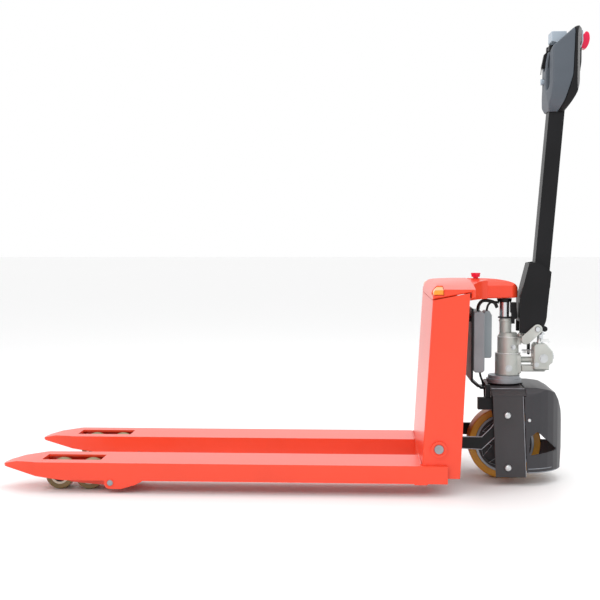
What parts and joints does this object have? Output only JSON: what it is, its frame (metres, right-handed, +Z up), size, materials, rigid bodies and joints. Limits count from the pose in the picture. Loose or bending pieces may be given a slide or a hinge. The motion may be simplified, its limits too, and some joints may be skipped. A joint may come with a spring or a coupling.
{
  "type": "pallet jack",
  "caption": "Walk-behind electric pallet jack: red forks and battery mast, grey pump column, covered drive wheel and black tiller with looped control head.",
  "frame": {"origin": "centre of the bounding box at floor level", "axes": "+X from the fork tips towards the tiller, +Y to the left fork, +Z up"},
  "size_m": [1.661, 0.564, 1.298],
  "materials": {
    "frame_paint": "gloss",
    "cast_silver": "silver paint",
    "bright_steel": "bright",
    "black_steel": "satin",
    "drive_plate": "satin",
    "cover_plastic": "satin",
    "box_grey": "satin",
    "drive_tread": "satin",
    "roller_tread": "satin",
    "head_grey": "satin",
    "head_light_grey": "satin",
    "belly_red": "gloss",
    "stop_red": "gloss",
    "lens_orange": "gloss",
    "black_plastic": "satin",
    "cable_black": "matte"
  },
  "bodies": {
    "fork_frame": {"fork_left": "frame_paint", "fork_right": "frame_paint", "mast_shell": "frame_paint", "heel_crossmember": "frame_paint", "battery_tray": "frame_paint", "battery_pack": "black_plastic", "hood": "frame_paint", "nose_beam": "frame_paint", "hood_lens_left": "lens_orange", "hood_lens_right": "lens_orange", "controller_bracket": "black_steel", "motor_controller": "box_grey", "charger_box": "box_grey", "controller_harness": "cable_black", "lift_ram": "bright_steel", "ram_seat": "black_steel", "rocker_shaft": "bright_steel", "load_arm_pin_left": "bright_steel", "load_arm_pin_right": "bright_steel"},
    "stop_button": {"stop_button": "stop_red"},
    "rocker": {"rocker_frame": "black_steel"},
    "drive_carriage": {"carriage_frame": "drive_plate", "drive_cover": "cover_plastic", "bearing_ring_lower": "black_steel", "sensor_block": "black_steel", "carriage_pin_left": "bright_steel", "carriage_pin_right": "bright_steel"},
    "steering_column": {"wheel_fork": "drive_plate", "wheel_axle": "bright_steel", "bearing_ring_upper": "bright_steel", "pump_body": "cast_silver", "tiller_ears": "cast_silver", "pump_block": "cast_silver", "filler_plug": "bright_steel", "tiller_stop": "black_steel", "tiller_pin": "bright_steel"},
    "drive_wheel": {"drive_tyre": "drive_tread", "drive_hub": "drive_plate"},
    "plunger": {"pump_plunger": "bright_steel"},
    "release_lever": {"release_lever": "black_steel"},
    "tiller": {"tiller_base": "black_steel", "tiller_tube": "black_steel", "tube_sleeve": "black_steel", "head_front_shell": "head_grey", "head_back_shell": "black_plastic", "display_panel": "head_light_grey"},
    "throttle": {"throttle_paddle": "black_plastic"},
    "lowering_lever": {"lowering_lever": "black_plastic"},
    "horn_button": {"horn_button": "head_light_grey"},
    "belly_button": {"belly_button": "belly_red"},
    "push_rod_left": {"push_rod_left": "black_steel"},
    "load_arm_left": {"load_arm_left": "frame_paint"},
    "bogie_left": {"bogie_left": "black_steel"},
    "load_roller_front_left": {"load_roller_front_left": "roller_tread"},
    "load_roller_rear_left": {"load_roller_rear_left": "roller_tread"},
    "push_rod_right": {"push_rod_right": "black_steel"},
    "load_arm_right": {"load_arm_right": "frame_paint"},
    "bogie_right": {"bogie_right": "black_steel"},
    "load_roller_front_right": {"load_roller_front_right": "roller_tread"},
    "load_roller_rear_right": {"load_roller_rear_right": "roller_tread"}
  },
  "joints": [
    {"name": "lift", "type": "slide", "parent": "fork_frame", "child": "drive_carriage", "axis": [0, 0, -1], "range_m": [0, 0.11]},
    {"name": "rocker_turn", "type": "hinge", "parent": "fork_frame", "child": "rocker", "pos_m": [0.3911, 0, 0.1288], "axis": [0, 1, 0], "range_deg": [0, 30.6]},
    {"name": "steer", "type": "hinge", "parent": "drive_carriage", "child": "steering_column", "pos_m": [0.5965, 0, 0.262], "axis": [0, 0, 1], "range_deg": [-90, 90]},
    {"name": "drive_wheel_spin", "type": "hinge", "parent": "steering_column", "child": "drive_wheel", "pos_m": [0.5965, 0, 0.105], "axis": [0, 1, 0], "continuous": true},
    {"name": "tiller_tilt", "type": "hinge", "parent": "steering_column", "child": "tiller", "pos_m": [0.6865, 0, 0.439], "axis": [0, 1, 0], "range_deg": [0, 75], "stiffness_Nm_per_rad": 30, "springref_deg": -34.38},
    {"name": "plunger_stroke", "type": "slide", "parent": "steering_column", "child": "plunger", "axis": [0, 0, -1], "range_m": [0, 0.0215]},
    {"name": "release_turn", "type": "hinge", "parent": "steering_column", "child": "release_lever", "pos_m": [0.6695, 0, 0.364], "axis": [0, -1, 0], "range_deg": [0, 12.5]},
    {"name": "throttle_turn", "type": "hinge", "parent": "tiller", "child": "throttle", "pos_m": [0.7195, 0, 1.243], "axis": [0, 1, 0], "range_deg": [-30, 30], "stiffness_Nm_per_rad": 0.3},
    {"name": "lowering_pull", "type": "hinge", "parent": "tiller", "child": "lowering_lever", "pos_m": [0.7075, 0, 1.226], "axis": [0, -1, 0], "range_deg": [0, 14], "stiffness_Nm_per_rad": 0.5, "springref_deg": -17.19},
    {"name": "horn_press", "type": "slide", "parent": "tiller", "child": "horn_button", "axis": [1, 0, 0], "range_m": [0, 0.003], "stiffness_N_per_m": 800, "springref_m": -0.003},
    {"name": "belly_press", "type": "slide", "parent": "tiller", "child": "belly_button", "axis": [-1, 0, 0], "range_m": [0, 0.006], "stiffness_N_per_m": 800, "springref_m": -0.004},
    {"name": "stop_press", "type": "slide", "parent": "fork_frame", "child": "stop_button", "axis": [0, 0, -1], "range_m": [0, 0.003]},
    {"name": "push_rod_left_pivot", "type": "hinge", "parent": "rocker", "child": "push_rod_left", "pos_m": [0.41215, 0.2, 0.0513], "axis": [0, -1, 0], "range_deg": [0, 30.6]},
    {"name": "load_arm_left_pivot", "type": "hinge", "parent": "fork_frame", "child": "load_arm_left", "pos_m": [-0.5115, 0.2, 0.03], "axis": [0, -1, 0], "range_deg": [0, 67.3]},
    {"name": "bogie_left_pivot", "type": "hinge", "parent": "load_arm_left", "child": "bogie_left", "pos_m": [-0.624, 0.2, 0.04], "axis": [0, 1, 0], "range_deg": [0, 67.3]},
    {"name": "load_roller_front_left_spin", "type": "hinge", "parent": "bogie_left", "child": "load_roller_front_left", "pos_m": [-0.666, 0.2, 0.04], "axis": [0, 1, 0], "continuous": true},
    {"name": "load_roller_rear_left_spin", "type": "hinge", "parent": "bogie_left", "child": "load_roller_rear_left", "pos_m": [-0.582, 0.2, 0.04], "axis": [0, 1, 0], "continuous": true},
    {"name": "push_rod_right_pivot", "type": "hinge", "parent": "rocker", "child": "push_rod_right", "pos_m": [0.41215, -0.2, 0.0513], "axis": [0, -1, 0], "range_deg": [0, 30.6]},
    {"name": "load_arm_right_pivot", "type": "hinge", "parent": "fork_frame", "child": "load_arm_right", "pos_m": [-0.5115, -0.2, 0.03], "axis": [0, -1, 0], "range_deg": [0, 67.3]},
    {"name": "bogie_right_pivot", "type": "hinge", "parent": "load_arm_right", "child": "bogie_right", "pos_m": [-0.624, -0.2, 0.04], "axis": [0, 1, 0], "range_deg": [0, 67.3]},
    {"name": "load_roller_front_right_spin", "type": "hinge", "parent": "bogie_right", "child": "load_roller_front_right", "pos_m": [-0.666, -0.2, 0.04], "axis": [0, 1, 0], "continuous": true},
    {"name": "load_roller_rear_right_spin", "type": "hinge", "parent": "bogie_right", "child": "load_roller_rear_right", "pos_m": [-0.582, -0.2, 0.04], "axis": [0, 1, 0], "continuous": true}
  ],
  "couplings": [
    {"joint": "rocker_turn", "follows": "lift", "rad_per_m": 4.8212},
    {"joint": "plunger_stroke", "follows": "tiller_tilt", "m_per_rad": 0.016043},
    {"joint": "release_turn", "follows": "lowering_pull", "ratio": 0.857},
    {"joint": "push_rod_left_pivot", "follows": "lift", "rad_per_m": 4.8212},
    {"joint": "load_arm_left_pivot", "follows": "lift", "rad_per_m": 10.638},
    {"joint": "bogie_left_pivot", "follows": "lift", "rad_per_m": 10.638},
    {"joint": "push_rod_right_pivot", "follows": "lift", "rad_per_m": 4.8212},
    {"joint": "load_arm_right_pivot", "follows": "lift", "rad_per_m": 10.638},
    {"joint": "bogie_right_pivot", "follows": "lift", "rad_per_m": 10.638}
  ]
}
